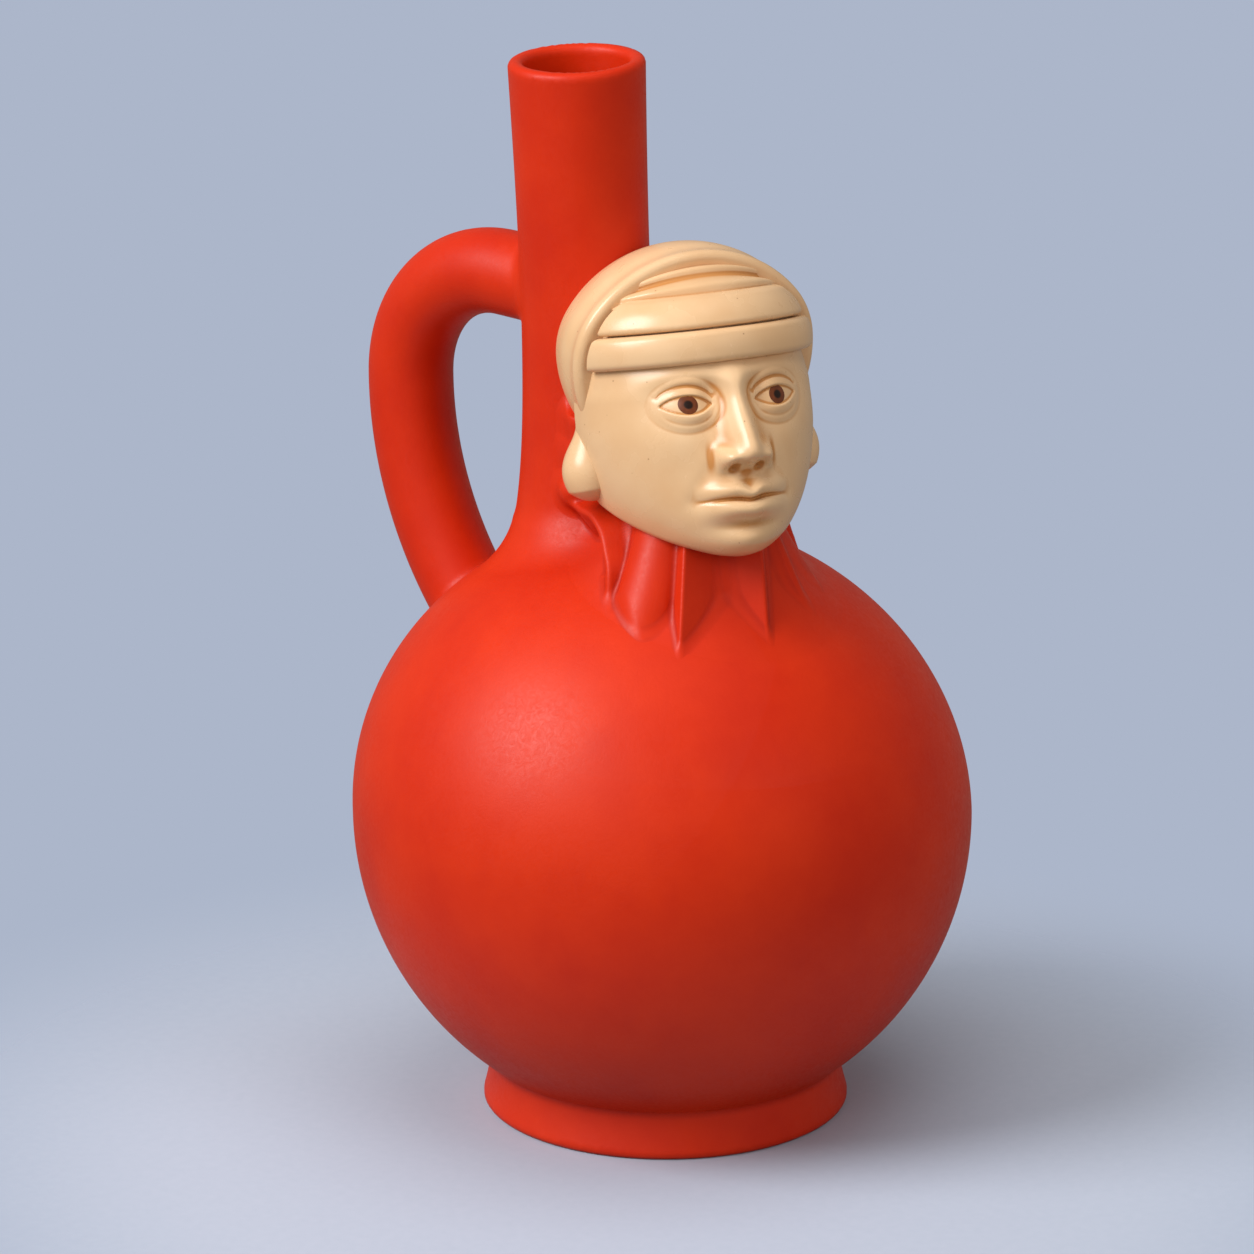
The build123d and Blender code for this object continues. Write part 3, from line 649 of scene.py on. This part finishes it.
# Disc that follows the eyeball; each point keeps its share of the radius, for the pupil
def buildIris(name, side):
    rings, spokes = irisDisc["rings"], irisDisc["spokes"]
    r = irisDisc["radius"] * np.maximum(np.arange(rings + 1), irisDisc["centre"])[:, None] / rings
    a = 2 * math.pi * np.arange(spokes)[None] / spokes
    x, z = (side * face["eyes"] + r * np.cos(a)).ravel(), (irisDisc["rise"] + r * np.sin(a)).ravel()
    width, depth = ovalAt(z)
    flat = 1 - (x / width) ** 2
    y = -depth * np.sqrt(flat) - faceRelief(x, z, withLids=False) * flat - irisDisc["proud"]
    ids = np.arange((rings + 1) * spokes).reshape(rings + 1, spokes)
    turnedIds = np.roll(ids, -1, 1)
    quads = np.stack([ids[:-1], ids[1:], turnedIds[1:], turnedIds[:-1]], -1).reshape(-1, 4)
    iris = makeMesh(name, fromHead(np.stack([x, y, z], 1)), quads)
    ring = iris.data.attributes.new("ring", "FLOAT", "POINT")
    ring.data.foreach_set("value", np.repeat(np.arange(rings + 1) / rings, spokes).astype(np.float32))
    return iris


cream["faceMask"] = fieldMesh("faceMask", faceField, headLow, headHigh, meshStep["faceMask"], reach=3.0)
markCreaseShade(cream["faceMask"], faceField, creaseShadeWidth["faceMask"])
irises = [buildIris("iris" + hand, side) for hand, side in (("Left", -1), ("Right", 1))]
print("face", len(cream["faceMask"].data.polygons), "faces")


def hexLinear(code):
    parts = [int(code[i:i + 2], 16) / 255 for i in (1, 3, 5)]
    return [c / 12.92 if c <= 0.04045 else ((c + 0.055) / 1.055) ** 2.4 for c in parts] + [1.0]


# Adds one node with its settings, and links its inputs to the outputs given
def addNode(tree, kind, settings, links={}):
    node = tree.nodes.new("ShaderNode" + kind)
    for key, value in settings.items():
        if isinstance(key, str) and hasattr(node, key):
            setattr(node, key, value)
        else:
            node.inputs[key].default_value = value
    for key, source in links.items():
        tree.links.new(source, node.inputs[key])
    return node


def newFinish(name, settings):
    made = bpy.data.materials.new(name)
    made.use_nodes = True
    shader = made.node_tree.nodes["Principled BSDF"]
    for key, value in settings.items():
        shader.inputs[key].default_value = value
    return made, made.node_tree, shader


# Cloudy slip with painted shade that darkens it in creases; gives the cloud pattern and the colour
def slipColour(tree, place, slip):
    cloud = addNode(tree, "TexNoise", {"Scale": 1000 / slip["cloudSize"], "Detail": slip["cloudDetail"],
                                       "Roughness": slip["cloudRough"]}, {"Vector": place})
    share = addNode(tree, "MapRange", {"From Min": 0.35, "From Max": 0.65}, {"Value": cloud.outputs["Fac"]})
    colour = addNode(tree, "Mix", {"data_type": "RGBA", 6: hexLinear(slip["base"]), 7: hexLinear(slip["cloud"])},
                     {0: share.outputs["Result"]})
    # painted shade: the hollower the point, the more of the darker crease colour it takes
    mark = addNode(tree, "Attribute", {"attribute_name": "creaseShade"})
    start, full, most = slip["creaseShadeRange"]
    hollow = addNode(tree, "MapRange", {"From Min": start, "From Max": full, "To Max": most},
                     {"Value": mark.outputs["Fac"]})
    creaseShaded = addNode(tree, "Mix", {"data_type": "RGBA", 7: hexLinear(slip["creaseShade"])},
                      {0: hollow.outputs["Result"], 6: colour.outputs[2]})
    return cloud.outputs["Fac"], creaseShaded.outputs[2]


# Links colour, roughness that follows a pattern, and fine relief into the shader
def joinFinish(tree, shader, slip, colour, pattern, height):
    low, high = slip["roughness"]
    rough = addNode(tree, "MapRange", {"From Min": 0.3, "From Max": 0.7, "To Min": low, "To Max": high},
                    {"Value": pattern})
    bump = addNode(tree, "Bump", {"Strength": slip["bumpStrength"], "Distance": slip["bump"] * mm}, {"Height": height})
    tree.links.new(colour, shader.inputs["Base Color"])
    tree.links.new(rough.outputs["Result"], shader.inputs["Roughness"])
    tree.links.new(bump.outputs["Normal"], shader.inputs["Normal"])


# Red clay slip, rubbed with a pebble before firing: a soft satin sheen, clouded colour, a faint net of rubbing marks
# and painted shade in its hollows
redSlip = {"base": "#c52504", "cloud": "#d02e06", "creaseShade": "#a01604", "cloudSize": 38, "cloudDetail": 5.0,
           "cloudRough": 0.6, "creaseShadeRange": (-0.15, -0.8, 0.6), "markSize": 2.2, "grit": 0.5, "gritShare": 0.35,
           "roughness": (0.4, 0.54), "bump": 0.06, "bumpStrength": 0.5}


def buildRedSlip():
    made, tree, shader = newFinish("burnishedRedSlip", {"IOR": 1.45, "Specular IOR Level": 0.34})
    place = addNode(tree, "TexCoord", {}).outputs["Object"]
    _, colour = slipColour(tree, place, redSlip)
    marks = addNode(tree, "TexNoise", {"Scale": 1000 / redSlip["markSize"], "Detail": 3.0, "Distortion": 1.8},
                    {"Vector": place})
    grit = addNode(tree, "TexNoise", {"Scale": 1000 / redSlip["grit"], "Detail": 2.0}, {"Vector": place})
    height = addNode(tree, "Math", {"operation": "MULTIPLY_ADD", 1: redSlip["gritShare"]},
                     {0: grit.outputs["Fac"], 2: marks.outputs["Fac"]})
    joinFinish(tree, shader, redSlip, colour, marks.outputs["Fac"], height.outputs[0])
    return made


# Fine cream slip, rubbed smoother than the red: silky glints on the rounds, painted tan shade in its creases, tiny
# iron specks
creamSlip = {"base": "#dcb285", "cloud": "#e1bb90", "creaseShade": "#bd7d3e", "speck": "#8a5a34", "cloudSize": 16,
             "cloudDetail": 4.0, "cloudRough": 0.5, "creaseShadeRange": (-0.05, -0.7, 0.9), "speckGap": 5.0,
             "speckSize": 0.22, "speckMost": 0.6, "grit": 0.5, "roughness": (0.22, 0.32), "bump": 0.03,
             "bumpStrength": 0.4}


def buildCreamSlip():
    made, tree, shader = newFinish("burnishedCreamSlip", {"IOR": 1.5, "Specular IOR Level": 0.5})
    place = addNode(tree, "TexCoord", {}).outputs["Object"]
    cloud, colour = slipColour(tree, place, creamSlip)
    grit = addNode(tree, "TexNoise", {"Scale": 1000 / creamSlip["grit"], "Detail": 2.0}, {"Vector": place})
    cells = addNode(tree, "TexVoronoi", {"Scale": 1000 / creamSlip["speckGap"]}, {"Vector": place})
    limit = creamSlip["speckSize"] / creamSlip["speckGap"]
    dot = addNode(tree, "MapRange", {"From Min": limit * 1.3, "From Max": limit * 0.7,
                                     "To Max": creamSlip["speckMost"]}, {"Value": cells.outputs["Distance"]})
    specked = addNode(tree, "Mix", {"data_type": "RGBA", 7: hexLinear(creamSlip["speck"])},
                      {0: dot.outputs["Result"], 6: colour})
    joinFinish(tree, shader, creamSlip, specked.outputs[2], cloud, grit.outputs["Fac"])
    return made


# Brown slip dabbed on with a brush: darker and glossier than the cream, with uneven cover and a darker pupil
brownSlip = {"base": "#4a2110", "thin": "#7a3d1c", "pupil": "#1d0c06", "dab": 1.6, "pupilShare": 0.45,
             "pupilSoft": 0.08}


def buildBrownSlip():
    made, tree, shader = newFinish("brushedBrownSlip", {"Roughness": 0.28, "IOR": 1.5})
    place = addNode(tree, "TexCoord", {}).outputs["Object"]
    dab = addNode(tree, "TexNoise", {"Scale": 1000 / brownSlip["dab"], "Detail": 2.0}, {"Vector": place})
    colour = addNode(tree, "Mix", {"data_type": "RGBA", 6: hexLinear(brownSlip["base"]),
                                   7: hexLinear(brownSlip["thin"])}, {0: dab.outputs["Fac"]})
    ring = addNode(tree, "Attribute", {"attribute_name": "ring"})
    share, soft = brownSlip["pupilShare"], brownSlip["pupilSoft"]
    inner = addNode(tree, "MapRange", {"From Min": share + soft, "From Max": share - soft},
                    {"Value": ring.outputs["Fac"]})
    painted = addNode(tree, "Mix", {"data_type": "RGBA", 7: hexLinear(brownSlip["pupil"])},
                      {0: inner.outputs["Result"], 6: colour.outputs[2]})
    tree.links.new(painted.outputs[2], shader.inputs["Base Color"])
    return made


redFinish, creamFinish, brownFinish = buildRedSlip(), buildCreamSlip(), buildBrownSlip()


def dressPiece(piece, finish, slot, *nodes):
    piece.data.materials.append(finish)
    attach(piece, "root")
    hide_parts(*nodes)


dressPiece(redBody, redFinish, "red_slip", "lower_globe", "upper_globe", "foot_ring", "neck_spout", "handle")
dressPiece(pleatedCollar, redFinish, "red_slip", "collar_core", "fold_front_middle", "fold_narrow_left",
           "fold_narrow_right", "fold_broad_left", "fold_broad_right", "fold_curled_left", "fold_curled_right")
creamNodes = {"hood": "hood", "crownCloth": "crown_cloth", "lowerHeadband": "lower_headband",
              "upperHeadband": "upper_headband", "earBulbLeft": "ear_bulb_left", "earBulbRight": "ear_bulb_right",
              "headBall": "head_ball", "faceMask": "face_mask"}
for name, node in creamNodes.items():
    dressPiece(cream[name], creamFinish, "cream_slip", node)
for piece, hand in zip(irises, ("left", "right")):
    dressPiece(piece, brownFinish, "brown_slip", "iris_" + hand)
print("finishes done")


# Pale blue-grey paper sweep: matt, with a faint pulp grain, running out into the backdrop; it throws back less light
# than it shows
paper = {"colour": "#b5bdcd", "fleck": "#aeb7c8", "bounce": "#8d939e", "grain": 3.0, "near": 115, "far": 250,
         "middle": (-30.6, -25.7)}


def addFloor():
    mesh = bpy.data.meshes.new("floor")
    mesh.from_pydata([(-1, -1, 0), (1, -1, 0), (1, 1, 0), (-1, 1, 0)], [], [(0, 1, 2, 3)])
    obj = bpy.data.objects.new("floor", mesh)
    bpy.context.scene.collection.objects.link(obj)
    finish, tree, shader = newFinish("pulpedPaper", {"Roughness": 0.8, "Specular IOR Level": 0.2})
    place = addNode(tree, "TexCoord", {}).outputs["Object"]
    grain = addNode(tree, "TexNoise", {"Scale": 1000 / paper["grain"], "Detail": 3.0}, {"Vector": place})
    colour = addNode(tree, "Mix", {"data_type": "RGBA", 6: hexLinear(paper["colour"]), 7: hexLinear(paper["fleck"])},
                     {0: grain.outputs["Fac"]})
    seen = addNode(tree, "LightPath", {}).outputs["Is Camera Ray"]
    shown = addNode(tree, "Mix", {"data_type": "RGBA", 6: hexLinear(paper["bounce"])}, {0: seen, 7: colour.outputs[2]})
    middle = [v * mm for v in paper["middle"]] + [0]
    away = addNode(tree, "VectorMath", {"operation": "DISTANCE", 1: middle}, {0: place})
    fade = addNode(tree, "MapRange", {"interpolation_type": "SMOOTHSTEP", "From Min": paper["near"] * mm,
                                      "From Max": paper["far"] * mm, "To Min": 1.0, "To Max": 0.0},
                   {"Value": away.outputs["Value"]})
    tree.links.new(shown.outputs[2], shader.inputs["Base Color"])
    tree.links.new(fade.outputs["Result"], shader.inputs["Alpha"])
    mesh.materials.append(finish)


def addLamp(name, where, size, power):
    data = bpy.data.lights.new(name, "AREA")
    data.shape = "DISK"
    data.size = size
    data.energy = power
    obj = bpy.data.objects.new(name, data)
    obj.location = where
    obj.rotation_mode = "QUATERNION"
    obj.rotation_quaternion = (Vector((0, 0, light["aim"])) - Vector(where)).to_track_quat("-Z", "Y")
    bpy.context.scene.collection.objects.link(obj)
    return obj


view = {"azimuth": -50.0, "elevation": 18.8, "distance": 2.7, "focal": 292.7, "sensor": 36, "aimRight": -0.0094,
        "aimUp": -0.00688, "height": 0.14}


def addCamera():
    a, e = math.radians(view["azimuth"]), math.radians(view["elevation"])
    back = Vector((math.sin(a) * math.cos(e), -math.cos(a) * math.cos(e), math.sin(e)))
    right = Vector((math.cos(a), math.sin(a), 0))
    up = back.cross(right)
    aim = Vector((0, 0, view["height"])) + right * view["aimRight"] + up * view["aimUp"]
    data = bpy.data.cameras.new("camera")
    data.sensor_width = view["sensor"]
    data.lens = view["focal"]
    obj = bpy.data.objects.new("camera", data)
    obj.location = aim + back * view["distance"]
    obj.rotation_mode = "QUATERNION"
    obj.rotation_quaternion = (-back).to_track_quat("-Z", "Y")
    bpy.context.scene.collection.objects.link(obj)
    bpy.context.scene.camera = obj
    return right, back


# Soft key from the left of the view, weaker lamps above and in front, pale room; the backdrop shows only to the
# camera. A lamp has metres to the right, towards the camera and up, its width and its watts
light = {"key": (-2.05, 1.0, 2.0, 1.8, 88), "top": (0.2, 0.3, 3.0, 2.4, 31), "right": (2.2, 2.0, 1.4, 2.0, 22),
         "front": (-1.0, 2.6, 1.4, 2.0, 13), "aim": 0.13, "room": "#d8d1c8", "roomLevel": 0.36, "backdrop": "#acb6ca"}


def addRoom():
    world = bpy.data.worlds.new("studio")
    world.use_nodes = True
    bpy.context.scene.world = world
    tree = world.node_tree
    room = tree.nodes["Background"]
    room.inputs["Color"].default_value = hexLinear(light["room"])
    room.inputs["Strength"].default_value = light["roomLevel"]
    backdrop = addNode(tree, "Background", {"Color": hexLinear(light["backdrop"])})
    seen = addNode(tree, "LightPath", {}).outputs["Is Camera Ray"]
    both = addNode(tree, "MixShader", {}, {0: seen, 1: room.outputs[0], 2: backdrop.outputs[0]})
    tree.links.new(both.outputs[0], tree.nodes["World Output"].inputs["Surface"])


addFloor()
right, back = addCamera()
level = Vector((back.x, back.y, 0)).normalized()
for name in ("key", "top", "right", "front"):
    side, near, high, size, power = light[name]
    lamp = addLamp(name, right * side + level * near + Vector((0, 0, high)), size, power)
    lamp.visible_glossy = name == "key"  # one clear highlight, from the key
addRoom()
bpy.context.scene.view_settings.view_transform = "Standard"
print("stage and light done")
